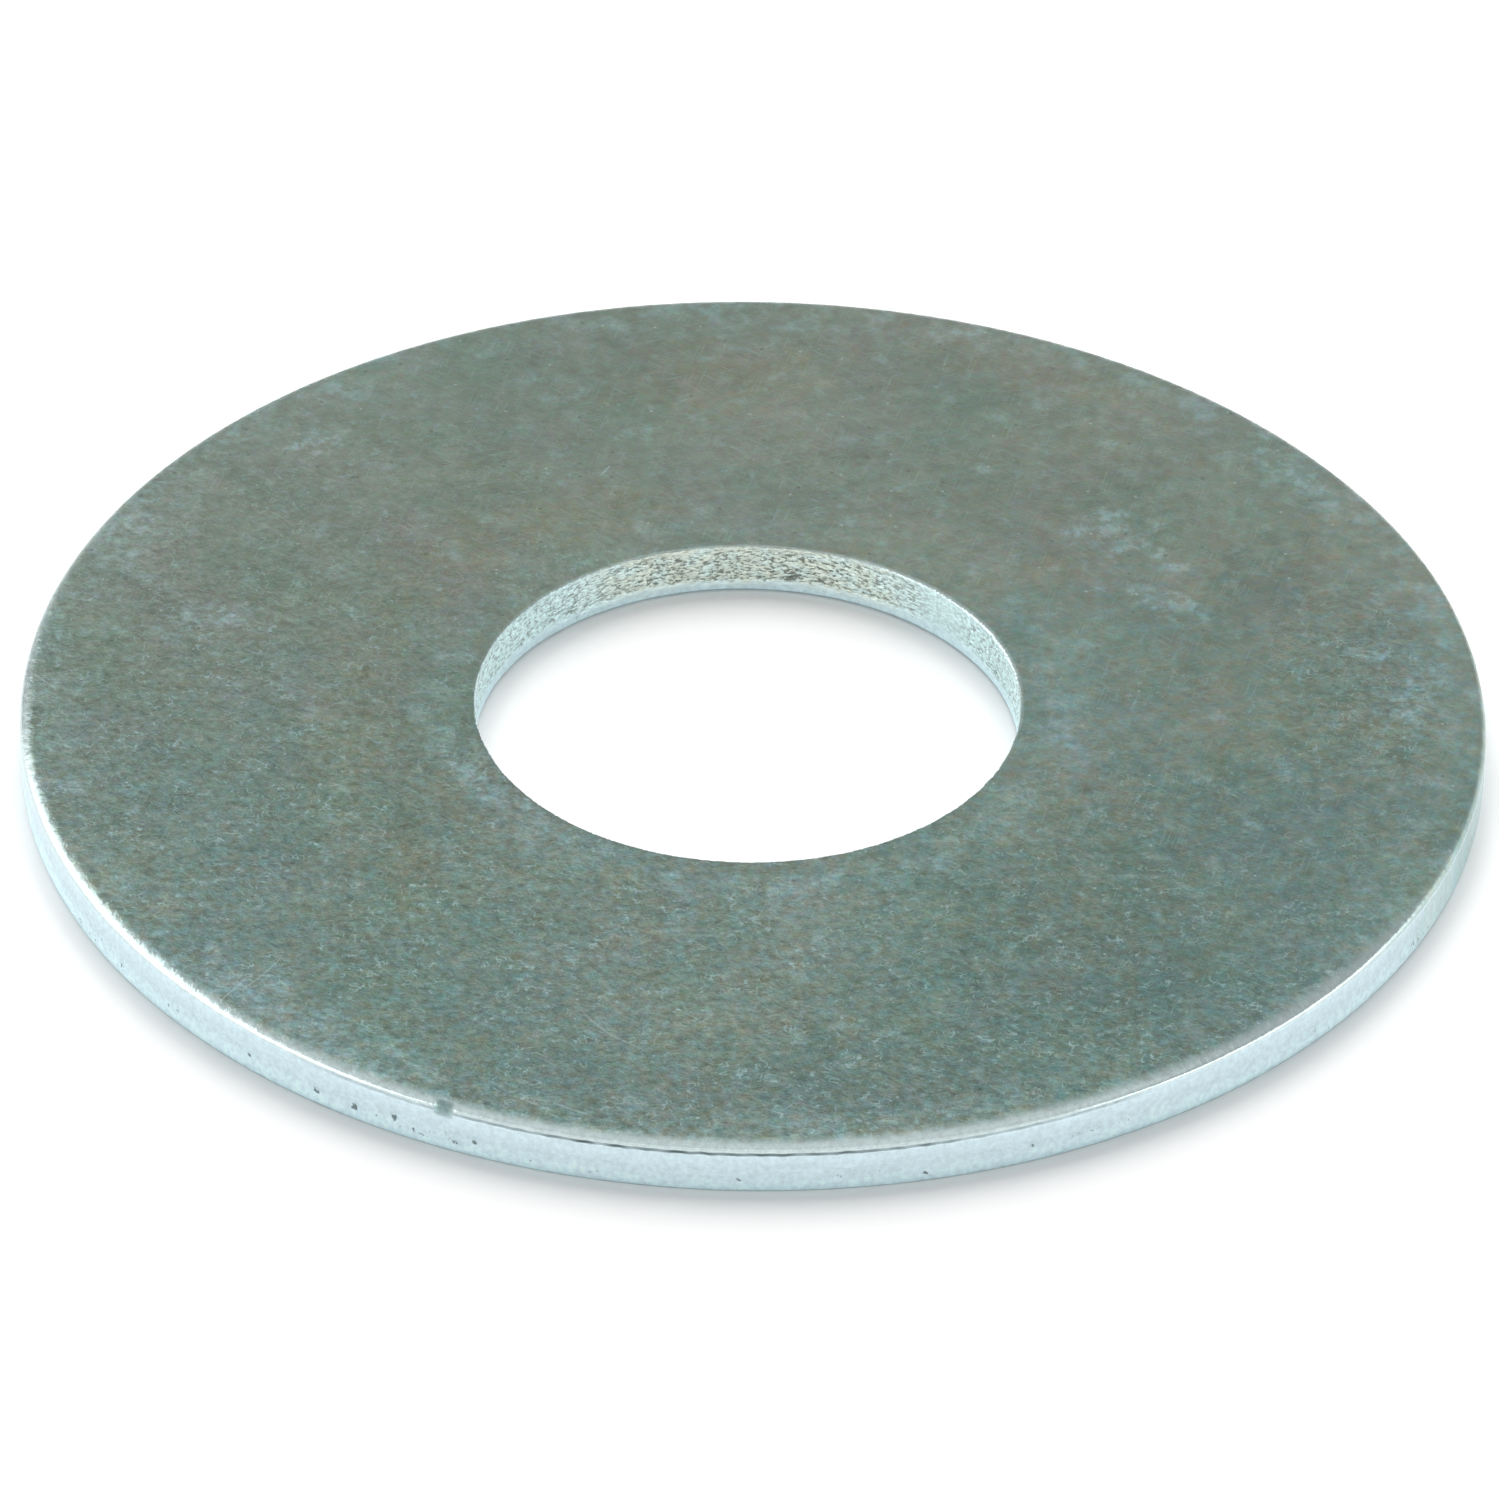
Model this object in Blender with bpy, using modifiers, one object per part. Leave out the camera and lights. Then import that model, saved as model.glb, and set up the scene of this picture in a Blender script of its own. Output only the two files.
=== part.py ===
"""A plain flat washer: one ring of sheet steel, pierced and blanked in a press, then zinc plated.

The washer lies on its lower face, with the middle of its bore on the Z axis and that face at Z = 0.
All sizes are in metres. The press leaves its marks on the section, and the profile below has them:
the outer edge is drawn over at the top, and the bore is drawn in at the bottom, cut clean along a
short land and torn a little wider from there up to the top face.
"""

import math

import bpy

# Driving dimensions
OUTER_DIAMETER = 0.035
BORE_DIAMETER = 0.013
THICKNESS = 0.0013

# Outer edge, from the top face down
RIM_ROLL_WIDTH = 0.00038
RIM_ROLL_DEPTH = 0.00024
RIM_TEAR_WIDTH = 0.00003
RIM_TEAR_HEIGHT = 0.00015

# Bore, from the lower face up
BORE_ROLL_WIDTH = 0.00018
BORE_ROLL_DEPTH = 0.00006
BORE_LAND_HEIGHT = 0.00022
BORE_TEAR_WIDTH = 0.00003

# Fineness of the turned shape
TURN_STEPS = 128
ROLL_STEPS = 6
MERGE_DISTANCE = 0.000001
SHARP_ANGLE = math.radians(25)

NAME = "flat_washer"
ZINC_COLOUR = (0.40, 0.45, 0.43, 1.0)
ZINC_ROUGHNESS = 0.45
ZINC_METALLIC = 0.9


def clear_scene():
    """Removes every object that the open file holds."""
    for old in list(bpy.data.objects):
        bpy.data.objects.remove(old)


def rolled_corner(width, depth):
    """Points of a drawn-over corner, as (distance along the face, drop from the face).

    The curve leaves the face without a kink, steepens evenly and meets the cut wall at an edge.
    """
    steps = [i / ROLL_STEPS for i in range(ROLL_STEPS + 1)]
    return [(width * s, depth * s * s) for s in steps]


def washer_profile():
    """The closed section as (radius, height), out along the top, down the rim and up the bore."""
    rim = OUTER_DIAMETER / 2
    bore = BORE_DIAMETER / 2

    points = []
    for along, drop in rolled_corner(RIM_ROLL_WIDTH, RIM_ROLL_DEPTH):
        points.append((rim - RIM_ROLL_WIDTH + along, THICKNESS - drop))
    points.append((rim, RIM_TEAR_HEIGHT))
    points.append((rim - RIM_TEAR_WIDTH, 0.0))

    for along, drop in rolled_corner(BORE_ROLL_WIDTH, BORE_ROLL_DEPTH):
        points.append((bore + BORE_ROLL_WIDTH - along, drop))
    points.append((bore, BORE_ROLL_DEPTH + BORE_LAND_HEIGHT))
    points.append((bore + BORE_TEAR_WIDTH, THICKNESS))
    return points


def turned_mesh(name, profile):
    """Turns a closed (radius, height) profile once round the Z axis and returns the mesh."""
    outline = bpy.data.meshes.new(name + "_profile")
    corners = [(radius, 0.0, height) for radius, height in profile]
    count = len(corners)
    outline.from_pydata(corners, [(i, (i + 1) % count) for i in range(count)], [])

    turned = bpy.data.objects.new(name + "_turned", outline)
    bpy.context.scene.collection.objects.link(turned)
    screw = turned.modifiers.new("turn", "SCREW")
    screw.axis = "Z"
    screw.angle = math.tau
    screw.steps = TURN_STEPS
    screw.render_steps = TURN_STEPS
    screw.use_merge_vertices = True
    screw.merge_threshold = MERGE_DISTANCE

    view = bpy.context.evaluated_depsgraph_get()
    mesh = bpy.data.meshes.new_from_object(turned.evaluated_get(view), depsgraph=view)
    mesh.name = name
    bpy.data.objects.remove(turned)
    bpy.data.meshes.remove(outline)
    return mesh


def zinc_plated_steel():
    """Bright zinc on steel, dulled by handling."""
    material = bpy.data.materials.new("zinc_plated_steel")
    material.use_nodes = True
    shader = material.node_tree.nodes["Principled BSDF"]
    shader.inputs["Base Color"].default_value = ZINC_COLOUR
    shader.inputs["Roughness"].default_value = ZINC_ROUGHNESS
    shader.inputs["Metallic"].default_value = ZINC_METALLIC
    material.diffuse_color = ZINC_COLOUR
    return material


def build_washer(collection):
    """The washer, as the one solid that it is."""
    mesh = turned_mesh(NAME, washer_profile())
    mesh.shade_smooth()
    mesh.set_sharp_from_angle(angle=SHARP_ANGLE)
    mesh.materials.append(zinc_plated_steel())
    washer = bpy.data.objects.new(NAME, mesh)
    collection.objects.link(washer)
    return washer


def main():
    clear_scene()
    collection = bpy.data.collections.new(NAME)
    bpy.context.scene.collection.children.link(collection)
    build_washer(collection)


main()
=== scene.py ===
import math

import bpy
import numpy as np
from mathutils import Matrix, Vector, noise


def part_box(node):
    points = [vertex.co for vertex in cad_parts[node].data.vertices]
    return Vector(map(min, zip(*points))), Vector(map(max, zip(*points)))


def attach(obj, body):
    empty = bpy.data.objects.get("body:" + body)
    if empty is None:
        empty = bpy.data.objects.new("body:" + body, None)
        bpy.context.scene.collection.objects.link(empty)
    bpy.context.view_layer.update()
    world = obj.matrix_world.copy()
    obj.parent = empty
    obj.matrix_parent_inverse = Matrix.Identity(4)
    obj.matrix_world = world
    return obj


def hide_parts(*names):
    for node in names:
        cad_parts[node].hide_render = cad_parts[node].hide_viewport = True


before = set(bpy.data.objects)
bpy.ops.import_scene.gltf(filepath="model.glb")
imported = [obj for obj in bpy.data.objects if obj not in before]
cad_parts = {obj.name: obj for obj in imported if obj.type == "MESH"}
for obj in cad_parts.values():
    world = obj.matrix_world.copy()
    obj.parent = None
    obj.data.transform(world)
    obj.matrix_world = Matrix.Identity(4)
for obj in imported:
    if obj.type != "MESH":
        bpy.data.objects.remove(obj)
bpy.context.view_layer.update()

# The CAD model's own sizes, which the visible washer keeps. Everything below is in metres.
NODE = "flat_washer"
MM = 0.001


def cad_sizes():
    """Outer radius, bore radius and thickness, read from the CAD node."""
    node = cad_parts[NODE]
    corners = np.empty(len(node.data.vertices) * 3)
    node.data.vertices.foreach_get("co", corners)
    corners = corners.reshape(-1, 3)
    radii = np.hypot(corners[:, 0], corners[:, 1])
    low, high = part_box(NODE)
    return high[0], radii.min(), high[2] - low[2]


RIM, BORE, THICK = (float(size) for size in cad_sizes())

# ---------------------------------------------------------------------------------------------
# The washer's section, as the press left it. Angles run from +X towards +Y, so the camera sees
# the rim from -180 to 0 degrees and the bore's wall from 0 to 180.
# ---------------------------------------------------------------------------------------------
COLUMNS = 1280
ANGLES = np.linspace(0.0, math.tau, COLUMNS, endpoint=False)
SHARP_ANGLE = math.radians(38.0)

# Where things are round the washer, in degrees
CREASE_ANGLE = -92.0
NICK_ANGLE = -113.4
SHARP_RIM_ANGLE = 0.0
DULL_RIM_ANGLE = 80.0
SMOOTH_BORE_ANGLE = 44.0
ROUGHEST_BORE_ANGLE = 88.0
WORN_BORE_ANGLE = 30.0

# The rim. The drops are measured down from the lip, where the rolled corner ends.
ROLL_WIDTH = 0.42 * MM
ROLL_DEPTH = 0.21 * MM
CREASE_DEPTH = 0.018 * MM
CREASE_START_DROP = 0.005 * MM
CREASE_STOP_DROP = 0.066 * MM
CREASE_END_DROP = 0.080 * MM
WALL_START_DROP = 0.11 * MM
WALL_SWAY = 0.0012 * MM
TEAR_WIDTH = 0.030 * MM
TEAR_HEIGHT = 0.16 * MM
LOWER_EDGE = 0.015 * MM
LOWER_FACE_MARGIN = 0.25 * MM

# The bore. Its middle lies a little to the left of the rim's.
BORE_SHIFT = -0.14 * MM
BORE_ROLL_WIDTH = 0.15 * MM
BORE_ROLL_DEPTH = 0.05 * MM
LAND_TOP = 0.22 * MM
BORE_FLARE = 0.008 * MM
TORN_DEPTH = 0.045 * MM
TORN_STOP_DROP = 0.045 * MM
WORN_EDGE_WIDTH = 0.07 * MM

# The knock on the rolled edge, and the depth of the pits in the wall
NICK_DROP = 0.15 * MM
NICK_HALF_LENGTH = 0.22 * MM
NICK_HALF_WIDTH = 0.19 * MM
NICK_DEPTH = 0.04 * MM
PIT_DEPTH = 0.03 * MM

# Pits low on the rim's wall. Each gives its angle in degrees, its height, and its width and
# height across in millimetres.
WALL_PITS = (
    (-152.0, 0.50, 0.09, 0.12),
    (-146.7, 0.28, 0.12, 0.22),
    (-131.0, 0.42, 0.09, 0.12),
    (-124.5, 0.36, 0.14, 0.20),
    (-121.0, 0.36, 0.19, 0.20),
    (-117.5, 0.46, 0.14, 0.28),
    (-115.9, 0.28, 0.10, 0.12),
    (-112.4, 0.27, 0.15, 0.12),
    (-110.8, 0.40, 0.10, 0.15),
    (-95.5, 0.28, 0.10, 0.12),
    (-90.5, 0.32, 0.09, 0.13),
    (-82.0, 0.42, 0.08, 0.14),
    (-76.5, 0.24, 0.09, 0.11),
    (-68.0, 0.44, 0.08, 0.14),
    (-44.0, 0.26, 0.08, 0.10),
    (24.0, 0.38, 0.12, 0.18),
    (71.0, 0.30, 0.16, 0.14),
    (129.0, 0.42, 0.10, 0.22),
    (136.0, 0.26, 0.14, 0.12),
)


def smooth_step(value, low, high):
    """0 below low, 1 above high, and an even curve between them."""
    share = np.clip((value - low) / (high - low), 0.0, 1.0)
    return share * share * (3.0 - 2.0 * share)


def ripple(seed, fewest, most, size):
    """A wandering value round the washer, made of waves that each close on themselves."""
    dice = np.random.default_rng(seed)
    waves = np.arange(fewest, most + 1)
    phases = dice.uniform(0.0, math.tau, len(waves))
    total = sum(np.cos(count * ANGLES + phase) for count, phase in zip(waves, phases))
    return size * total / math.sqrt(len(waves))


def near_angle(degrees, reach, core=0.0):
    """1 within core degrees of this angle round the washer, falling to 0 at reach degrees."""
    turn = np.degrees(ANGLES) - degrees
    away = np.abs((turn + 180.0) % 360.0 - 180.0)
    return 1.0 - smooth_step(away, core, reach)


class Section:
    """Collects the rings of points that make the skin, in order round the section."""

    MARKS = ("polish", "roll", "torn", "rough", "pit", "crease")

    def __init__(self):
        self.rings = []
        self.marks = {name: [] for name in self.MARKS}

    def ring(self, radius, height, shift=0.0, **marks):
        """One ring of points. shift is how far its middle follows the bore's, from 0 to 1."""
        full = np.ones(COLUMNS)
        x = radius * np.cos(ANGLES) + shift * BORE_SHIFT
        y = radius * np.sin(ANGLES)
        self.rings.append(np.stack([x * full, y * full, height * full], axis=1))
        for name in self.MARKS:
            self.marks[name].append(full * marks.get(name, 0.0))


def add_upper_face(section, bore_edge, roll_width):
    """The flat upper face, from the bore's worn edge out to where the rim starts to roll over."""
    rings = 4
    worn = 1.0 + 0.9 * near_angle(WORN_BORE_ANGLE, 50.0, 15.0)
    width = WORN_EDGE_WIDTH * worn
    start = bore_edge + width
    stop = RIM - roll_width
    shine = 0.5 * worn
    section.ring(bore_edge + width / 7, THICK - width / 5, 1.0, polish=shine, roll=1.0)
    section.ring(bore_edge + width / 2, THICK - width / 17.5, 1.0, polish=0.6 * shine, roll=1.0)
    for i in range(rings + 1):
        share = i / rings
        section.ring(start + (stop - start) * share, THICK, 1.0 - share)


def add_rim(section, roll_width, roll_depth, tear_width, tear_height):
    """The rolled-over corner, the line where the cut starts, the cut wall and its lower edge."""
    roll_rings = 13
    line = near_angle(CREASE_ANGLE, 36.0) ** 0.5 * (0.85 + ripple(21, 30, 200, 0.16))
    line = np.clip(line, 0.0, 1.0)
    roll_depth = roll_depth + ripple(25, 60, 300, 0.008 * MM) * line
    lip = THICK - roll_depth
    dull = np.maximum(near_angle(SHARP_RIM_ANGLE, 40.0, 15.0), near_angle(DULL_RIM_ANGLE, 105.0, 65.0))
    shine = 1.0 - 0.8 * dull
    for i in range(1, roll_rings + 1):
        turn = math.radians(90.0 * i / roll_rings)
        dent = np.abs(ripple(60 + i, 60, 300, 0.0025 * MM)) * math.sin(turn)
        radius = RIM - roll_width * (1.0 - math.sin(turn)) - dent
        height = THICK - roll_depth * (1.0 - math.cos(turn))
        polish = smooth_step(turn, 0.05, 1.0) * shine
        # Painted shade: a dark line along the crease under the roll, strongest at the front.
        crease = 0.7 * line if i == roll_rings else 0.0
        section.ring(radius, height, polish=polish, roll=1.0, crease=crease)
    groove = CREASE_DEPTH * line
    for drop in (CREASE_START_DROP, CREASE_STOP_DROP):
        section.ring(RIM - groove, lip - drop, polish=1.0, crease=line)
    wall_polish = 1.0 - 0.6 * near_angle(SHARP_RIM_ANGLE, 34.0, 14.0)
    section.ring(RIM - 0.001 * MM, lip - CREASE_END_DROP, polish=wall_polish)
    wall_rings = 10
    wall_top = lip - WALL_START_DROP
    for i in range(wall_rings + 1):
        share = i / wall_rings
        height = wall_top + (tear_height - wall_top) * share
        sway = (1.0 + ripple(31 + i // 3, 3, 14, 0.5)) * WALL_SWAY
        section.ring(RIM - sway, height, polish=wall_polish)
    section.ring(RIM - 0.4 * tear_width, 0.45 * tear_height, polish=1.0, torn=0.1)
    section.ring(RIM - tear_width, LOWER_EDGE, polish=1.0, torn=0.2)
    section.ring(RIM - tear_width - LOWER_EDGE, 0.0, polish=0.6)


def add_lower_face(section, roll_width):
    """The flat lower face, from the rim in to where the bore's edge is drawn in."""
    rings = 3
    start = RIM - LOWER_FACE_MARGIN
    stop = BORE + roll_width
    for i in range(rings + 1):
        share = i / rings
        section.ring(start + (stop - start) * share, 0.0, share)


def bore_roughness():
    """How badly the bore's wall tore, round the washer: least in one smooth patch on the right."""
    level = 0.62 + 0.38 * near_angle(ROUGHEST_BORE_ANGLE, 60.0)
    return level * (1.0 - 0.85 * near_angle(SMOOTH_BORE_ANGLE, 12.0)) + ripple(22, 8, 40, 0.06)


def add_bore(section, bore_edge, roll_width, roll_depth, land_top):
    """Up the bore: the drawn-in corner, the clean cut land, and the torn wall above it."""
    roll_rings = 4
    for i in range(1, roll_rings + 1):
        share = i / roll_rings
        radius = BORE + roll_width * (1.0 - share)
        section.ring(radius, roll_depth * share**2, 1.0, polish=smooth_step(share, 0.0, 0.5))
    for share in (0.5, 1.0):
        height = roll_depth + (land_top - roll_depth) * share
        section.ring(BORE, height, 1.0, polish=1.0, torn=0.3 * share)
    torn_rings = 30
    torn_top = THICK - TORN_STOP_DROP
    rough = bore_roughness()
    for i in range(1, torn_rings + 1):
        share = i / torn_rings
        height = land_top + (torn_top - land_top) * share
        cone = BORE + (bore_edge - BORE) * share
        depth = torn_relief(cone, height) * rough
        depth *= smooth_step(share, 0.0, 0.12) * (1.0 - 0.75 * smooth_step(share, 0.82, 1.0))
        torn = 0.3 + 0.7 * smooth_step(share, 0.0, 0.15)
        fade = smooth_step(share, 0.0, 0.18) * (1.0 - 0.7 * smooth_step(share, 0.80, 1.0))
        pit = np.clip(depth * 1.5 - 0.08, 0.0, 1.0)
        radius = cone + depth * TORN_DEPTH
        section.ring(radius, height, 1.0, polish=1.0, torn=torn, rough=rough * fade, pit=pit)


def torn_relief(radius, height):
    """How deeply one ring of the torn wall is picked out, from 0 to about 1, in level streaks."""
    pits = np.empty(COLUMNS)
    flatten = 2.3
    for i, angle in enumerate(ANGLES):
        place = Vector((radius[i] * math.cos(angle), radius[i] * math.sin(angle), height[i] * flatten))
        coarse = noise.noise(place / (0.24 * MM))
        fine = noise.noise(place / (0.085 * MM))
        pits[i] = max(0.0, 0.7 * coarse + 1.1 * fine + 0.08)
    return pits


def inward_way(points):
    """From each point, a level step towards the middle, of length 1 at the rim."""
    return np.stack([-points[:, 0], -points[:, 1], np.zeros(len(points))], axis=1) / RIM


def press_nick(points, marks):
    """A small knock on the rolled edge, flattened and dulled, and darkened with painted shade."""
    angle = math.radians(NICK_ANGLE)
    centre = np.array([RIM * math.cos(angle), RIM * math.sin(angle), THICK - NICK_DROP])
    along = np.array([-math.sin(angle), math.cos(angle), 0.0])
    offset = points - centre
    run = (offset @ along) / NICK_HALF_LENGTH
    rest = np.linalg.norm(offset - np.outer(offset @ along, along), axis=1) / NICK_HALF_WIDTH
    depth = np.exp(-(run**4)) * np.exp(-(rest**4))
    points += inward_way(points) * (depth * NICK_DEPTH)[:, None]
    marks["polish"] *= 1.0 - 0.9 * depth
    # Painted shade in the knock.
    marks["crease"] = np.maximum(marks["crease"] * (1.0 - depth), 0.6 * depth)


def press_pits(points, marks):
    """Small pits in the rim's wall."""
    around = np.degrees(np.arctan2(points[:, 1], points[:, 0]))
    on_wall = np.hypot(points[:, 0], points[:, 1]) > RIM - 2 * PIT_DEPTH
    inward = inward_way(points)
    for degrees, height, width, tall in WALL_PITS:
        turn = (around - degrees + 180.0) % 360.0 - 180.0
        run = np.radians(turn) * RIM / (width / 2 * MM)
        rise = (points[:, 2] - height * MM) / (tall / 2 * MM)
        depth = np.exp(-(run**2 + rise**2)) * on_wall
        points += inward * (depth * PIT_DEPTH)[:, None]
        marks["pit"] = np.maximum(marks["pit"], depth)


def build_washer():
    """The visible washer: one closed skin with the marks of rolling, cutting and tearing."""
    roll_width = ROLL_WIDTH + 0.06 * MM * np.cos(ANGLES) + ripple(3, 2, 9, 0.015 * MM)
    roll_width += ripple(13, 80, 400, 0.020 * MM)
    roll_width *= 1.0 - 0.55 * near_angle(SHARP_RIM_ANGLE, 42.0, 15.0)
    roll_depth = ROLL_DEPTH + 0.02 * MM * np.cos(ANGLES) + ripple(4, 2, 9, 0.006 * MM)
    tear_width = TEAR_WIDTH + 0.015 * MM * np.cos(ANGLES) + ripple(5, 3, 20, 0.005 * MM)
    tear_height = TEAR_HEIGHT + ripple(6, 2, 16, 0.02 * MM)
    jag = np.abs(ripple(7, 40, 220, 0.012 * MM)) + np.abs(ripple(8, 6, 30, 0.010 * MM))
    bore_edge = BORE + BORE_FLARE + jag
    bore_roll_width = BORE_ROLL_WIDTH + ripple(9, 2, 8, 0.012 * MM)
    bore_roll_depth = BORE_ROLL_DEPTH + ripple(10, 2, 8, 0.004 * MM)
    land_top = LAND_TOP + ripple(11, 2, 12, 0.03 * MM) + ripple(12, 30, 160, 0.02 * MM)

    section = Section()
    add_upper_face(section, bore_edge, roll_width)
    add_rim(section, roll_width, roll_depth, tear_width, tear_height)
    add_lower_face(section, bore_roll_width)
    add_bore(section, bore_edge, bore_roll_width, bore_roll_depth, land_top)

    points = np.concatenate(section.rings)
    marks = {name: np.concatenate(values) for name, values in section.marks.items()}
    press_nick(points, marks)
    press_pits(points, marks)
    return skin_object("stamped_washer", points, marks, len(section.rings))


def skin_object(name, points, marks, ring_count):
    """Joins each ring of points to the next, and the last to the first, with four-sided faces."""
    grid = np.arange(ring_count * COLUMNS).reshape(ring_count, COLUMNS)
    beside = np.roll(grid, -1, axis=1)
    below = np.roll(grid, -1, axis=0)
    below_beside = np.roll(below, -1, axis=1)
    faces = np.stack([grid, below, below_beside, beside], axis=-1).reshape(-1, 4)
    mesh = bpy.data.meshes.new(name)
    mesh.from_pydata(points.tolist(), [], faces.tolist())
    for mark, values in marks.items():
        layer = mesh.attributes.new(mark, "FLOAT", "POINT")
        layer.data.foreach_set("value", values.astype(np.float32))
    mesh.shade_smooth()
    mesh.set_sharp_from_angle(angle=SHARP_ANGLE)
    mesh.validate()
    piece = bpy.data.objects.new(name, mesh)
    bpy.context.scene.collection.objects.link(piece)
    return piece


# ---------------------------------------------------------------------------------------------
# Materials
# ---------------------------------------------------------------------------------------------
def set_range(node, low, high, start, end):
    """Makes a Map Range node turn low to high into start to end."""
    for name, value in (("From Min", low), ("From Max", high), ("To Min", start), ("To Max", end)):
        node.inputs[name].default_value = value


class Pattern:
    """Adds nodes to one material, so that its patterns can be written as formulas."""

    def __init__(self, name):
        self.material = bpy.data.materials.new(name)
        self.material.use_nodes = True
        self.tree = self.material.node_tree
        self.shader = self.tree.nodes["Principled BSDF"]
        self.place = self.add("ShaderNodeTexCoord").outputs["Object"]
        split = self.add("ShaderNodeSeparateXYZ")
        self.feed(split.inputs[0], self.place)
        self.x, self.y, self.z = split.outputs
        flat = self.vector("MULTIPLY", self.place, (1.0, 1.0, 0.0))
        self.radius = self.vector("LENGTH", flat, flat, "Value")
        self.layers = 0

    def add(self, kind, **settings):
        """A new node with the given properties."""
        node = self.tree.nodes.new(kind)
        for name, value in settings.items():
            setattr(node, name, value)
        return node

    def feed(self, socket, value):
        """Links a socket to another, or sets its number or colour."""
        if isinstance(value, bpy.types.NodeSocket):
            self.tree.links.new(value, socket)
        else:
            socket.default_value = value

    def maths(self, operation, *values):
        """A Math node on one, two or three values."""
        node = self.add("ShaderNodeMath", operation=operation)
        for socket, value in zip(node.inputs, values):
            self.feed(socket, value)
        return node.outputs[0]

    def vector(self, operation, first, second, output="Vector"):
        """A Vector Math node on two vectors."""
        node = self.add("ShaderNodeVectorMath", operation=operation)
        self.feed(node.inputs[0], first)
        self.feed(node.inputs[1], second)
        return node.outputs[output]

    def scaled(self, vector, factor):
        """A vector or colour times a number."""
        node = self.add("ShaderNodeVectorMath", operation="SCALE")
        self.feed(node.inputs[0], vector)
        self.feed(node.inputs["Scale"], factor)
        return node.outputs["Vector"]

    def tinted(self, colour, tint, amount):
        """A colour with its red, green and blue raised by an amount, each as far as tint says."""
        gain = self.vector("ADD", self.scaled(tint, amount), (1.0, 1.0, 1.0))
        return self.vector("MULTIPLY", colour, gain)

    def mark(self, name):
        """A mark that the mesh carries, from 0 to 1."""
        return self.add("ShaderNodeAttribute", attribute_name=name).outputs["Fac"]

    def spot(self, stretch=(1.0, 1.0, 1.0), turn=0.0):
        """The place on the washer, turned, stretched, and moved on so that no two layers match."""
        self.layers += 1
        node = self.add("ShaderNodeMapping", vector_type="TEXTURE")
        self.feed(node.inputs["Vector"], self.place)
        node.inputs["Location"].default_value = [step * self.layers for step in LAYER_STEP]
        node.inputs["Rotation"].default_value = [0.0, 0.0, math.radians(turn)]
        node.inputs["Scale"].default_value = [1.0 / amount for amount in stretch]
        return node.outputs[0]

    def noise(self, size, detail=2.0, rough=0.5, stretch=(1.0, 1.0, 1.0), turn=0.0, flat=False):
        """Cloudy noise whose patches are about this size in metres. Flat noise ignores height."""
        node = self.add("ShaderNodeTexNoise", noise_dimensions="2D" if flat else "3D")
        self.feed(node.inputs["Vector"], self.spot(stretch, turn))
        node.inputs["Scale"].default_value = 1.0 / size
        node.inputs["Detail"].default_value = detail
        node.inputs["Roughness"].default_value = rough
        return node.outputs["Fac"]

    def dots(self, apart, radius, share):
        """Round dots on the flat faces, in this share of the cells of a grid."""
        node = self.add("ShaderNodeTexVoronoi", voronoi_dimensions="2D")
        self.feed(node.inputs["Vector"], self.spot())
        node.inputs["Scale"].default_value = 1.0 / apart
        split = self.add("ShaderNodeSeparateColor")
        self.feed(split.inputs[0], node.outputs["Color"])
        chosen = self.band(split.outputs[0], share, share + 0.02, 1.0, 0.0)
        reach = radius / apart
        near = self.band(node.outputs["Distance"], 0.4 * reach, reach, 1.0, 0.0)
        return self.maths("MULTIPLY", near, chosen)

    def lines(self, size, width):
        """Thin curving lines, 1 along them and 0 away from them."""
        level = self.noise(size, detail=1.0, flat=True)
        off = self.maths("ABSOLUTE", self.maths("SUBTRACT", level, 0.5))
        return self.band(off, 0.0, width, 1.0, 0.0)

    def streaks(self, turn, length, width, rarity):
        """Straight hairlines that all run at turn degrees from +X."""
        level = self.noise(1.0, 0.0, stretch=(1.0 / length, 1.0 / width, 1.0), turn=turn, flat=True)
        return self.band(level, rarity, rarity + 0.06)

    def band(self, value, low, high, start=0.0, end=1.0):
        """start where value is below low, end where it is above high, smooth between."""
        node = self.add("ShaderNodeMapRange", interpolation_type="SMOOTHSTEP")
        set_range(node, low, high, start, end)
        self.feed(node.inputs["Value"], value)
        return node.outputs["Result"]

    def blend(self, share, first, second):
        """A colour between two others."""
        node = self.add("ShaderNodeMix", data_type="RGBA")
        self.feed(node.inputs[0], share)
        self.feed(node.inputs[6], first)
        self.feed(node.inputs[7], second)
        return node.outputs[2]

    def between(self, share, first, second):
        """A number between two others."""
        node = self.add("ShaderNodeMix", data_type="FLOAT")
        self.feed(node.inputs[0], share)
        self.feed(node.inputs[2], first)
        self.feed(node.inputs[3], second)
        return node.outputs[0]

    def times(self, *values):
        """Numbers multiplied together."""
        total = values[0]
        for value in values[1:]:
            total = self.maths("MULTIPLY", total, value)
        return total

    def most(self, *values):
        """The largest of several numbers."""
        total = values[0]
        for value in values[1:]:
            total = self.maths("MAXIMUM", total, value)
        return total

    def local(self, x, y, turn):
        """Distances along and across a line through a point, at turn degrees from +X."""
        offset = self.vector("SUBTRACT", self.place, (x, y, 0.0))
        way = math.radians(turn)
        along = self.vector("DOT_PRODUCT", offset, (math.cos(way), math.sin(way), 0.0), "Value")
        across = self.vector("DOT_PRODUCT", offset, (-math.sin(way), math.cos(way), 0.0), "Value")
        return along, across

    def patch(self, x, y, turn, half_length, half_width, ragged):
        """1 in the middle of an oval on the faces, and 0 past its edge. ragged breaks up that edge."""
        along, across = self.local(x, y, turn)
        run = self.maths("POWER", self.maths("DIVIDE", along, half_length), 2.0)
        rise = self.maths("POWER", self.maths("DIVIDE", across, half_width), 2.0)
        reach = self.maths("ADD", self.maths("ADD", run, rise), ragged)
        return self.band(reach, 0.0, 1.3, 1.0, 0.0)

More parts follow.
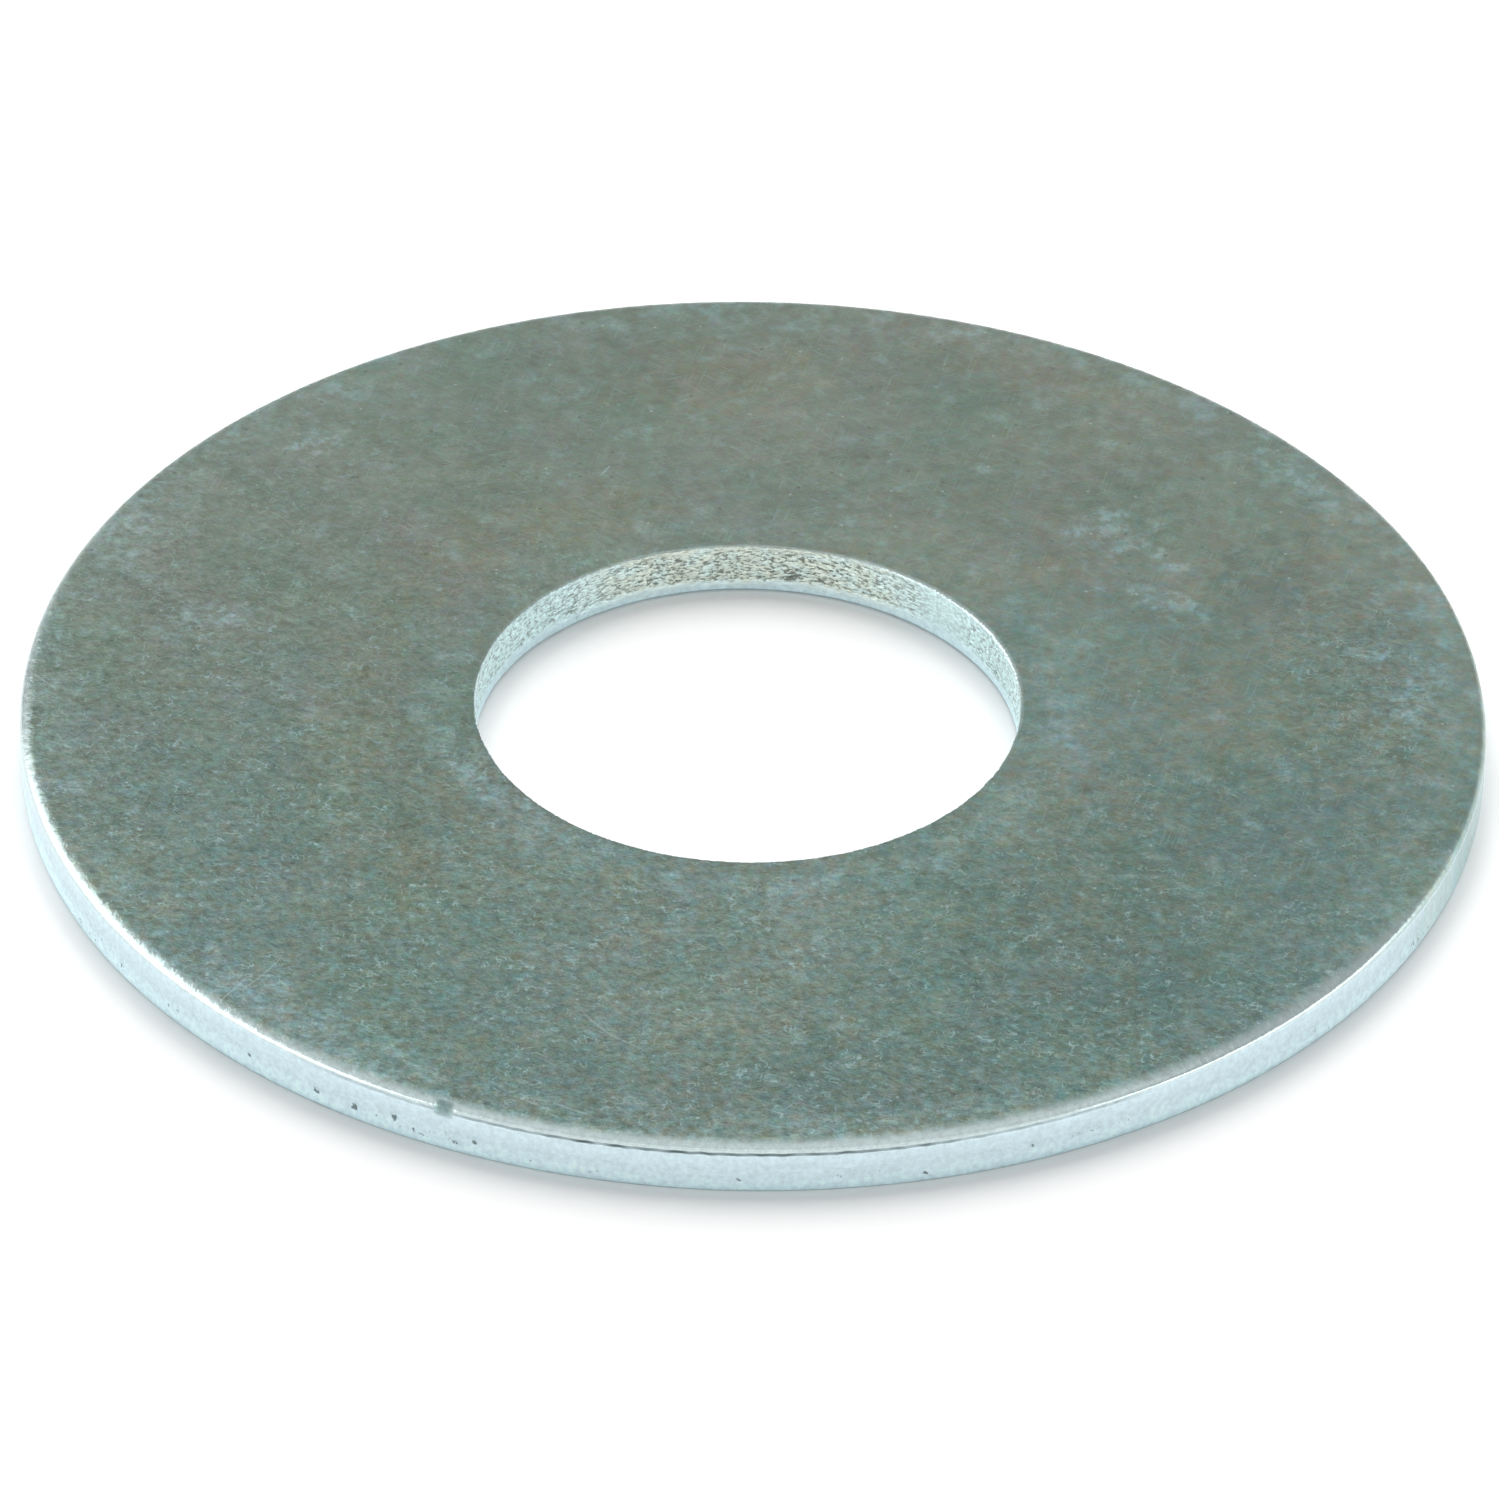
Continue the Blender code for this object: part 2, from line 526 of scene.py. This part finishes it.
    def scratch(self, x, y, turn, length, width, bow):
        """One hairline through a point: its bow is how far its ends bend off to the side."""
        along, across = self.local(x, y, turn)
        half = length / 2
        curve = self.maths("MULTIPLY", self.maths("POWER", along, 2.0), bow / half**2)
        off = self.maths("ABSOLUTE", self.maths("SUBTRACT", across, curve))
        thin = self.band(off, 0.0, width, 1.0, 0.0)
        ends = self.band(self.maths("ABSOLUTE", along), 0.5 * half, half, 1.0, 0.0)
        return self.times(thin, ends)

    def bump(self, height):
        """Surface relief of this height in metres."""
        node = self.add("ShaderNodeBump")
        node.inputs["Distance"].default_value = 1.0
        self.feed(node.inputs["Height"], height)
        return node.outputs["Normal"]


# How far each layer of noise is moved on from the one before it
LAYER_STEP = (0.017, 0.031, 0.023)

WHITE = (1.0, 1.0, 1.0, 1.0)
# The faces' zinc at the front and at the back: the shift between them is partly painted light.
FACE_COOL = (0.339, 0.465, 0.408, 1.0)
FACE_WARM = (0.381, 0.457, 0.388, 1.0)
FACE_PALE = (0.60, 0.84, 0.84, 1.0)
FACE_DARK = (0.20, 0.27, 0.23, 1.0)
FACE_SCRATCH_AND_GLINT = (0.80, 1.0, 1.0, 1.0)
# The cut walls high up, and low down where painted light offsets the mirrored shadow of the floor.
WALL_HIGH = (0.70, 0.85, 0.905, 1.0)
WALL_LOW_PAINTED_LIGHT = (0.80, 0.955, 1.0, 1.0)
ROLL_GREEN = (0.64, 0.755, 0.76, 1.0)
TORN_PALE = (0.79, 0.98, 0.99, 1.0)
TORN_BACK_BEIGE = (0.84, 0.91, 0.81, 1.0)
TORN_PIT = (0.23, 0.26, 0.23, 1.0)
WALL_PIT = (0.13, 0.19, 0.19, 1.0)
# Painted shade for the crease under the roll and for the knock.
CREASE_SHADE = (0.11, 0.15, 0.15, 1.0)

BROWN_TINT = (1.06, 0.98, 0.93, 1.0)
DULL_TINT = (0.80, 0.86, 0.87, 1.0)

# Mottling of the faces: the size of the patches, and how much each set lightens and darkens. The
# fine sets are strongest at the front. Small light patches are bluish and large ones pinkish.
FINE_MOTTLES = ((0.07 * MM, 0.28), (0.20 * MM, 0.64))
MIDDLE_MOTTLES = ((0.6 * MM, 0.31),)
BROAD_MOTTLES = ((2.0 * MM, 0.18), (4.5 * MM, 0.15), (9.0 * MM, 0.20))
BLUISH_LIGHT = (0.92, 1.0, 1.25)
PINKISH_LIGHT = (1.40, 0.90, 0.93)
# Patches of other tints: the size, and how far each set goes towards and away from that tint.
WARM_SHIFTS = ((0.25 * MM, 0.26), (0.8 * MM, 0.15), (5.0 * MM, 0.12))
PINK_SHIFTS = ((0.22 * MM, 0.11), (1.4 * MM, 0.05), (4.0 * MM, 0.05))
WARM_TINT = (1.0, -0.3, -1.0)
PINK_TINT = (0.5, -1.0, 0.5)

# The sizes of the other patterns in the zinc, and the heights of those that are relief
DRIFT_SIZE = 5.0 * MM
RAGGED_SIZE = 0.7 * MM
CLUSTER_SIZE = 0.40 * MM
WEAR_SIZE = 0.8 * MM
DIRT_SIZE = 0.34 * MM
CLUMP_SIZE = 1.3 * MM
FLECK_SIZE = 0.26 * MM
FLECK_GAP_SIZE = 0.28 * MM
FOLD_SIZE = 0.36 * MM
FOLD_GAP_SIZE = 0.36 * MM
BACK_BLOTCH_SIZE = 0.5 * MM
WALL_TINT_SIZE = 0.8 * MM
WALL_GRAIN_SIZE = 0.14 * MM
WALL_PIT_EDGE_SIZE = 0.08 * MM
SPECK_SIZE = 0.12 * MM
SPECK_CLUMP_SIZE = 1.6 * MM
SHINE_SIZE = 0.6 * MM
SWELL_SIZE, SWELL_HEIGHT = 0.36 * MM, 0.075 * MM
GRAIN_SIZE, GRAIN_HEIGHT = 0.13 * MM, 0.014 * MM
TEARING_SIZE, TEARING_DEPTH = 0.14 * MM, 0.05 * MM

# Fine marks on the faces: the length and width of the hairlines and the ways that they run, then
# for each set of dots how far apart they can be, their radius and the share that is there.
HAIRLINE_LENGTH = 1.3 * MM
HAIRLINE_WIDTH = 0.035 * MM
HAIRLINE_TURNS = (20, 75, 140)
DARK_DOTS = (0.9 * MM, 0.07 * MM, 0.2)
GLINTS = (1.2 * MM, 0.05 * MM, 0.2)

# Roughness: of the faces from least to most, of the cut walls low down and high up, and of the tear
FACE_ROUGHNESS = (0.40, 0.52)
WALL_ROUGHNESS = (0.60, 0.22)
TORN_ROUGHNESS = 0.5

# How strongly each mark covers the zinc below it, from 0 to 1
PALE_PATCH_SHARE = 0.52
WORN_SHARE = 0.34
WORN_EDGE_SHARE = 0.30
DIRT_SHARE = 0.34
FLECK_SHARE = 0.85
FOLD_SHARE = 0.45
HAIRLINE_SHARE = 0.20
SCRATCH_SHARE = 0.45
DARK_DOT_SHARE = 0.5
GLINT_SHARE = 0.45
SPECK_SHARE = 0.6
WALL_PIT_SHARE = 0.85
TORN_PIT_SHARE = 0.95

# Marks on the upper face. Each gives x and y in millimetres and a direction in degrees from +X.
# A scratch then has its length, width and bow, a patch its half length and half width.
SCRATCHES = (
    (-17.0, 0.45, -48.0, 1.3, 0.045, 0.0),
    (-3.7, 9.7, 62.0, 0.6, 0.045, 0.0),
    (-11.3, -11.3, 55.0, 2.2, 0.035, 0.12),
    (-11.9, -11.8, 58.0, 1.5, 0.045, 0.0),
    (-3.25, -13.25, -45.0, 2.2, 0.040, 0.18),
    (-4.8, -16.05, -32.0, 1.1, 0.060, 0.0),
    (-4.0, -16.2, -28.0, 1.2, 0.055, 0.0),
)
PALE_PATCHES = (
    (8.8, 7.4, 8.0, 1.3, 1.0),
    (9.9, 4.3, -32.0, 1.2, 0.6),
    (-13.2, 3.0, 20.0, 1.2, 0.8),
    (-10.9, 10.7, 20.0, 0.9, 0.6),
    (-15.2, 6.6, 60.0, 1.5, 0.7),
    (-6.3, -3.2, -60.0, 2.6, 0.7),
    (-9.5, -13.6, -37.0, 5.0, 0.9),
    (13.2, 9.8, -52.0, 1.9, 0.5),
    (10.0, 6.2, -35.0, 0.7, 0.4),
    (14.9, 2.4, 20.0, 0.6, 0.4),
    (15.8, 0.2, 70.0, 1.6, 0.7),
)
BROWN_PATCHES = (
    (-1.2, 13.9, 10.0, 3.0, 1.9),
    (-3.6, 7.9, 25.0, 2.4, 1.1),
    (-7.6, 5.6, 50.0, 2.6, 1.5),
    (-9.4, -0.5, 86.0, 4.2, 1.3),
    (-8.4, -6.6, -60.0, 2.2, 1.0),
    (6.6, 14.5, -25.0, 4.4, 1.0),
    (7.4, 5.4, 30.0, 1.3, 1.0),
)
DULL_PATCHES = (
    (10.8, -8.5, 45.0, 9.0, 5.5),
    (12.3, 5.2, 70.0, 2.2, 1.4),
    (3.0, -14.5, 10.0, 4.0, 2.0),
)


def level_sum(zinc, layers, detail, strength=1.0):
    """Several sizes of noise added up, each as far either side of 0 as its amount says."""
    total = 0.0
    for size, amount in layers:
        level = zinc.noise(size, detail=detail, rough=0.6, flat=True)
        total = zinc.maths("MULTIPLY_ADD", zinc.maths("SUBTRACT", level, 0.5), amount, total)
    return zinc.times(total, strength)


def upper_side(zinc):
    """1 on the upper face and 0 on the lower one."""
    return zinc.band(zinc.z, 0.4 * THICK, 0.6 * THICK)


def coarseness(zinc):
    """How coarse the faces' grain is: 1 at the front left, less at the back, more again at the right."""
    slant = zinc.maths("MULTIPLY_ADD", zinc.x, 0.5, zinc.y)
    fall = zinc.band(slant, -13.0 * MM, 13.0 * MM, 1.0, 0.24)
    right = zinc.patch(14.5 * MM, 0.5 * MM, 90.0, 5.5 * MM, 2.8 * MM, 0.0)
    return zinc.most(fall, zinc.times(right, 0.85))


def in_metres(mark):
    """A mark's row with its lengths turned from millimetres to metres."""
    x, y, turn, *sizes = mark
    return (x * MM, y * MM, turn, *(size * MM for size in sizes))


def patches(zinc, rows, ragged):
    """The strongest of several patches at each place on the upper face."""
    strongest = zinc.most(*(zinc.patch(*in_metres(row), ragged) for row in rows))
    return zinc.times(strongest, upper_side(zinc))


def tinted_face(zinc):
    """The faces' dull zinc, with its brown, dull and pale patches, and a shift from cool at the front to
    warm at the back that is partly painted light.
    """
    # Partly painted light: the colour runs cooler towards the front and warmer towards the back, as the
    # light falls.
    tint_and_light_drift = zinc.noise(DRIFT_SIZE, detail=3.0, flat=True)
    tint_and_light_drift = zinc.maths("MULTIPLY_ADD", tint_and_light_drift, 14.0 * MM, zinc.y)
    colour = zinc.blend(zinc.band(tint_and_light_drift, -5.0 * MM, 18.0 * MM), FACE_COOL, FACE_WARM)

    ragged = zinc.noise(RAGGED_SIZE, detail=3.0, rough=0.6, flat=True)
    ragged = zinc.band(ragged, 0.3, 0.7, -0.6, 0.6)
    for rows, tint in ((BROWN_PATCHES, BROWN_TINT), (DULL_PATCHES, DULL_TINT)):
        colour = zinc.vector("MULTIPLY", colour, zinc.blend(patches(zinc, rows, ragged), WHITE, tint))
    clusters = zinc.noise(CLUSTER_SIZE, detail=3.0, rough=0.65, flat=True)
    clusters = zinc.band(clusters, 0.43, 0.61, 0.15, 1.0)
    pale = zinc.times(patches(zinc, PALE_PATCHES, ragged), clusters, PALE_PATCH_SHARE)
    return zinc.blend(pale, colour, FACE_PALE)


def worn_face(zinc, colour, coarse):
    """The faces with their pale wear, most of it by the rim and round the bore, and their dirt."""
    worn = zinc.noise(WEAR_SIZE, detail=4.0, rough=0.65, flat=True)
    near_bore = zinc.times(
        zinc.band(zinc.radius, BORE + 0.2 * MM, BORE + 0.8 * MM),
        zinc.band(zinc.radius, BORE + 0.9 * MM, BORE + 2.0 * MM, 1.0, 0.0),
        zinc.band(zinc.y, 1.0 * MM, 4.0 * MM, 1.2, 0.2),
    )
    near_edge = zinc.most(near_bore, zinc.band(zinc.radius, RIM - 2.4 * MM, RIM))
    colour = zinc.blend(zinc.band(worn, 0.54, 0.80, 0.0, WORN_SHARE), colour, FACE_PALE)
    edge_wear = zinc.times(near_edge, zinc.band(worn, 0.42, 0.64, 0.05, WORN_EDGE_SHARE))
    colour = zinc.blend(edge_wear, colour, FACE_PALE)
    dirt = zinc.band(zinc.noise(DIRT_SIZE, detail=2.0, flat=True), 0.48, 0.74, 0.0, DIRT_SHARE)
    return zinc.blend(zinc.times(dirt, coarse), colour, FACE_DARK)


def mottled_face(zinc, colour, coarse):
    """The faces with their mottling, in brightness and in tint."""
    small = zinc.maths(
        "ADD",
        level_sum(zinc, FINE_MOTTLES, 2.0, coarse),
        level_sum(zinc, MIDDLE_MOTTLES, 1.0),
    )
    colour = zinc.tinted(colour, BLUISH_LIGHT, small)
    colour = zinc.tinted(colour, PINKISH_LIGHT, level_sum(zinc, BROAD_MOTTLES, 1.0))
    slant = zinc.maths("MULTIPLY_ADD", zinc.x, -0.4, zinc.y)
    fade = zinc.band(slant, -6.0 * MM, 12.0 * MM, 1.0, 0.40)
    colour = zinc.tinted(colour, WARM_TINT, level_sum(zinc, WARM_SHIFTS, 0.0, fade))
    return zinc.tinted(colour, PINK_TINT, level_sum(zinc, PINK_SHIFTS, 0.0))


def marked_face(zinc, colour, coarse):
    """The faces with their fine marks: flecks, folds, hairlines, scratches and dots, the bright dots
    being painted glints.
    """
    flecks = zinc.times(
        zinc.band(zinc.noise(CLUMP_SIZE, detail=2.0, flat=True), 0.38, 0.64, 0.2, 1.0),
        zinc.lines(FLECK_SIZE, 0.06),
        zinc.band(zinc.noise(FLECK_GAP_SIZE, detail=1.0, flat=True), 0.46, 0.62),
        coarse,
    )
    colour = zinc.blend(zinc.times(flecks, FLECK_SHARE), colour, FACE_PALE)
    folds = zinc.times(
        zinc.lines(FOLD_SIZE, 0.05),
        zinc.band(zinc.noise(FOLD_GAP_SIZE, detail=1.0, flat=True), 0.48, 0.64),
        coarse,
    )
    colour = zinc.blend(zinc.times(folds, FOLD_SHARE), colour, FACE_DARK)

    hairlines = zinc.most(
        *(zinc.streaks(turn, HAIRLINE_LENGTH, HAIRLINE_WIDTH, 0.75) for turn in HAIRLINE_TURNS)
    )
    colour = zinc.blend(zinc.times(hairlines, HAIRLINE_SHARE), colour, FACE_PALE)
    scratches = zinc.most(*(zinc.scratch(*in_metres(row)) for row in SCRATCHES))
    scratches = zinc.times(scratches, upper_side(zinc), SCRATCH_SHARE)
    colour = zinc.blend(scratches, colour, FACE_SCRATCH_AND_GLINT)
    dark_dots = zinc.times(zinc.dots(*DARK_DOTS), DARK_DOT_SHARE)
    colour = zinc.blend(dark_dots, colour, FACE_DARK)
    # Glints are painted highlights: small bright dots in the colour.
    glints = zinc.times(zinc.dots(*GLINTS), GLINT_SHARE)
    return zinc.blend(glints, colour, FACE_SCRATCH_AND_GLINT)


def face_colour(zinc):
    """The dull, mottled zinc of the two flat faces."""
    colour = tinted_face(zinc)
    coarse = coarseness(zinc)
    colour = worn_face(zinc, colour, coarse)
    colour = mottled_face(zinc, colour, coarse)
    return marked_face(zinc, colour, coarse)


def wall_colour(zinc):
    """The bright zinc of the cut walls, greener on the rolled edge, with a few dark pits, and painted
    lighter low down to offset the floor's shadow that the wall mirrors.
    """
    # Painted light: the wall is lighter low down, to offset the floor's shadow that it mirrors.
    low = zinc.noise(WALL_TINT_SIZE, detail=2.0)
    low = zinc.maths("MULTIPLY_ADD", low, 0.35 * MM, zinc.z)
    colour = zinc.blend(zinc.band(low, 0.35 * MM, 0.95 * MM, 1.0, 0.0), WALL_HIGH, WALL_LOW_PAINTED_LIGHT)
    colour = zinc.blend(zinc.mark("roll"), colour, ROLL_GREEN)
    grain = zinc.noise(WALL_GRAIN_SIZE, detail=3.0, rough=0.6)
    colour = zinc.scaled(colour, zinc.band(grain, 0.2, 0.8, 0.88, 1.10))
    specks = zinc.times(
        zinc.band(zinc.noise(SPECK_SIZE, detail=2.0), 0.64, 0.70),
        zinc.band(zinc.noise(SPECK_CLUMP_SIZE, detail=1.0), 0.50, 0.58),
        zinc.band(zinc.z, 0.10 * MM, 0.20 * MM),
        zinc.band(zinc.z, 0.35 * MM, 0.65 * MM, 1.0, 0.0),
    )
    colour = zinc.blend(zinc.times(specks, SPECK_SHARE), colour, WALL_PIT)
    ragged = zinc.noise(WALL_PIT_EDGE_SIZE, detail=2.0)
    ragged = zinc.maths("MULTIPLY_ADD", ragged, 1.2, zinc.mark("pit"))
    return zinc.blend(zinc.band(ragged, 0.95, 1.15, 0.0, WALL_PIT_SHARE), colour, WALL_PIT)


def torn_colour(zinc, relief):
    """The torn wall of the bore: pale zinc, beige at the back, with painted shade in the hollows of its
    relief and dark pits in level streaks.
    """
    # Beige towards the back of the bore, in blotches.
    back_beige = zinc.band(zinc.y, 4.6 * MM, 6.2 * MM)
    blotch = zinc.noise(BACK_BLOTCH_SIZE, detail=3.0, stretch=(1.0, 1.0, 1.8))
    blotch = zinc.band(blotch, 0.36, 0.60, 0.4, 1.0)
    colour = zinc.blend(zinc.times(back_beige, blotch), TORN_PALE, TORN_BACK_BEIGE)
    # Painted highlight and shade: the torn relief's ridges are lighter and its hollows darker.
    colour = zinc.scaled(colour, zinc.band(relief, 0.34, 0.56, 1.0, 0.80))
    depth = zinc.maths("MULTIPLY_ADD", zinc.mark("pit"), 0.13, relief)
    pits = zinc.times(zinc.band(depth, 0.53, 0.64), zinc.mark("rough"))
    return zinc.blend(zinc.times(pits, TORN_PIT_SHARE), colour, TORN_PIT)


def zinc_plated_steel():
    """Zinc on steel: dull on the faces, bright on the cut walls, pitted where it tore."""
    zinc = Pattern("zinc_plated_steel")
    polish, torn, crease = (zinc.mark(name) for name in ("polish", "torn", "crease"))
    tearing = zinc.noise(TEARING_SIZE, detail=2.0, rough=0.6, stretch=(1.0, 1.0, 2.5))

    colour = zinc.blend(polish, face_colour(zinc), wall_colour(zinc))
    colour = zinc.blend(torn, colour, torn_colour(zinc, tearing))
    # Painted shade: the crease under the roll and the knock are darkened.
    colour = zinc.blend(crease, colour, CREASE_SHADE)
    zinc.feed(zinc.shader.inputs["Base Color"], colour)

    face_rough = zinc.noise(SHINE_SIZE, detail=3.0, flat=True)
    face_rough = zinc.band(face_rough, 0.3, 0.7, *FACE_ROUGHNESS)
    wall_rough = zinc.band(zinc.z, 0.15 * MM, 0.75 * MM, *WALL_ROUGHNESS)
    rough = zinc.between(polish, face_rough, wall_rough)
    rough = zinc.between(torn, rough, TORN_ROUGHNESS)
    zinc.feed(zinc.shader.inputs["Roughness"], rough)
    zinc.shader.inputs["Metallic"].default_value = 1.0

    swells = zinc.noise(SWELL_SIZE, detail=3.0, rough=0.6, flat=True)
    swells = zinc.times(swells, coarseness(zinc), SWELL_HEIGHT)
    grain = zinc.times(zinc.noise(GRAIN_SIZE, detail=2.0, rough=0.6), GRAIN_HEIGHT)
    relief = zinc.between(polish, zinc.maths("ADD", swells, grain), zinc.times(grain, 0.45))
    pitting = zinc.times(tearing, zinc.mark("rough"), -TEARING_DEPTH)
    zinc.feed(zinc.shader.inputs["Normal"], zinc.bump(zinc.maths("ADD", relief, pitting)))
    return zinc.material


# ---------------------------------------------------------------------------------------------
# Stage, light and camera
# ---------------------------------------------------------------------------------------------
# What the metal mirrors of the room. A height is the sine of the angle above the horizon.
ROOM_LOW_GREY = 0.38
ROOM_HIGH_GREY = 0.60
ROOM_LOW_HEIGHT = 0.26
ROOM_HIGH_HEIGHT = 0.9
PAPER_WHITE = 1.0
PAPER_HEIGHT = -0.02

FLOOR_SIZE = 1.6
FLOOR_DROP = 0.01 * MM
FLOOR_GREY = 0.88
LAMP_DISTANCE = 4.0


def floor():
    """A plain pale floor under the washer."""
    bpy.ops.mesh.primitive_plane_add(size=FLOOR_SIZE, location=(0.0, 0.0, -FLOOR_DROP))
    plane = bpy.context.object
    plane.name = "floor"
    paint = bpy.data.materials.new("floor_paper")
    paint.use_nodes = True
    shader = paint.node_tree.nodes["Principled BSDF"]
    shader.inputs["Base Color"].default_value = (FLOOR_GREY, FLOOR_GREY, FLOOR_GREY, 1.0)
    shader.inputs["Roughness"].default_value = 0.9
    shader.inputs["Specular IOR Level"].default_value = 0.1
    plane.data.materials.append(paint)


def softbox(name, side, height, wide, tall, brightness):
    """A studio light that faces the washer.

    side and height are where it stands, in degrees round from +X and up from the floor. wide and
    tall are the degrees that it fills, as the washer sees it.
    """
    lamp = bpy.data.lights.new(name, "AREA")
    lamp.shape = "RECTANGLE"
    lamp.size = 2.0 * LAMP_DISTANCE * math.tan(math.radians(wide / 2))
    lamp.size_y = 2.0 * LAMP_DISTANCE * math.tan(math.radians(tall / 2))
    lamp.energy = brightness * math.pi * lamp.size * lamp.size_y
    holder = bpy.data.objects.new(name, lamp)
    turn, rise = math.radians(side), math.radians(height)
    way = Vector((math.cos(turn) * math.cos(rise), math.sin(turn) * math.cos(rise), math.sin(rise)))
    holder.location = way * LAMP_DISTANCE
    holder.rotation_euler = way.to_track_quat("Z", "Y").to_euler()
    bpy.context.scene.collection.objects.link(holder)
    return holder


def room():
    """Grey walls, paler overhead and white below the horizon. The camera sees plain white instead."""
    world = bpy.data.worlds.new("studio")
    bpy.context.scene.world = world
    world.use_nodes = True
    tree = world.node_tree
    way = tree.nodes.new("ShaderNodeTexCoord")
    split = tree.nodes.new("ShaderNodeSeparateXYZ")
    tree.links.new(way.outputs["Generated"], split.inputs[0])
    above = tree.nodes.new("ShaderNodeMapRange")
    set_range(above, ROOM_LOW_HEIGHT, ROOM_HIGH_HEIGHT, ROOM_LOW_GREY, ROOM_HIGH_GREY)
    level = tree.nodes.new("ShaderNodeMapRange")
    set_range(level, PAPER_HEIGHT, 0.0, PAPER_WHITE, ROOM_LOW_GREY)
    tree.links.new(split.outputs["Z"], above.inputs["Value"])
    tree.links.new(split.outputs["Z"], level.inputs["Value"])
    tree.links.new(above.outputs["Result"], level.inputs["To Max"])

    walls = tree.nodes["Background"]
    walls.inputs["Color"].default_value = WHITE
    tree.links.new(level.outputs["Result"], walls.inputs["Strength"])
    backdrop = tree.nodes.new("ShaderNodeBackground")
    backdrop.inputs["Color"].default_value = WHITE
    seen = tree.nodes.new("ShaderNodeLightPath")
    choice = tree.nodes.new("ShaderNodeMixShader")
    tree.links.new(seen.outputs["Is Camera Ray"], choice.inputs[0])
    tree.links.new(walls.outputs[0], choice.inputs[1])
    tree.links.new(backdrop.outputs[0], choice.inputs[2])
    tree.links.new(choice.outputs[0], tree.nodes["World Output"].inputs["Surface"])


def studio():
    """The lights: one for the floor's soft shadows, and four for the metal to mirror."""
    room()
    overhead = softbox("overhead", 92.0, 50.0, 40.0, 56.0, 5.0)
    overhead.visible_glossy = False
    mirrored = (
        softbox("left", 175.0, 21.0, 84.0, 42.0, 1.45),
        softbox("right", -8.0, 10.0, 60.0, 20.0, 1.6),
        softbox("front_high", -90.0, 66.0, 90.0, 50.0, 0.20),
        softbox("front_low", -90.0, 17.0, 110.0, 48.0, 0.52),
    )
    for lamp in mirrored:
        lamp.visible_diffuse = False


# Camera: its height above the horizon, its lean, its distance and its lens. It aims a hair below
# and to the left of the washer's middle, so that the washer sits in the picture as it should.
CAMERA_HEIGHT = math.radians(35.54)
CAMERA_LEAN = math.radians(0.82)
CAMERA_DISTANCE = 16.57 * RIM
CAMERA_LENS = 290.5
SENSOR_WIDTH = 36.0
AIM_LEFT = 0.062 * MM
AIM_DOWN = 0.115 * MM


def camera():
    """A long lens that looks down at the washer from the front."""
    back = Vector((0.0, -math.cos(CAMERA_HEIGHT), math.sin(CAMERA_HEIGHT)))
    right = Vector((1.0, 0.0, 0.0))
    up = back.cross(right)
    leaned_right = right * math.cos(CAMERA_LEAN) + up * math.sin(CAMERA_LEAN)
    leaned_up = up * math.cos(CAMERA_LEAN) - right * math.sin(CAMERA_LEAN)
    place = back * CAMERA_DISTANCE
    aim = -leaned_right * AIM_LEFT - leaned_up * AIM_DOWN
    away = (place - aim).normalized()
    side = leaned_up.cross(away).normalized()
    turn = Matrix((side, away.cross(side), away)).transposed()

    lens = bpy.data.cameras.new("camera")
    lens.lens = CAMERA_LENS
    lens.sensor_width = SENSOR_WIDTH
    lens.clip_start = 0.01
    lens.clip_end = 20.0
    holder = bpy.data.objects.new("camera", lens)
    holder.matrix_world = Matrix.Translation(place) @ turn.to_4x4()
    bpy.context.scene.collection.objects.link(holder)
    bpy.context.scene.camera = holder


camera()
floor()
studio()
bpy.context.scene.view_settings.view_transform = "Standard"

washer = build_washer()
washer.data.materials.append(zinc_plated_steel())
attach(washer, "root")
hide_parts(NODE)
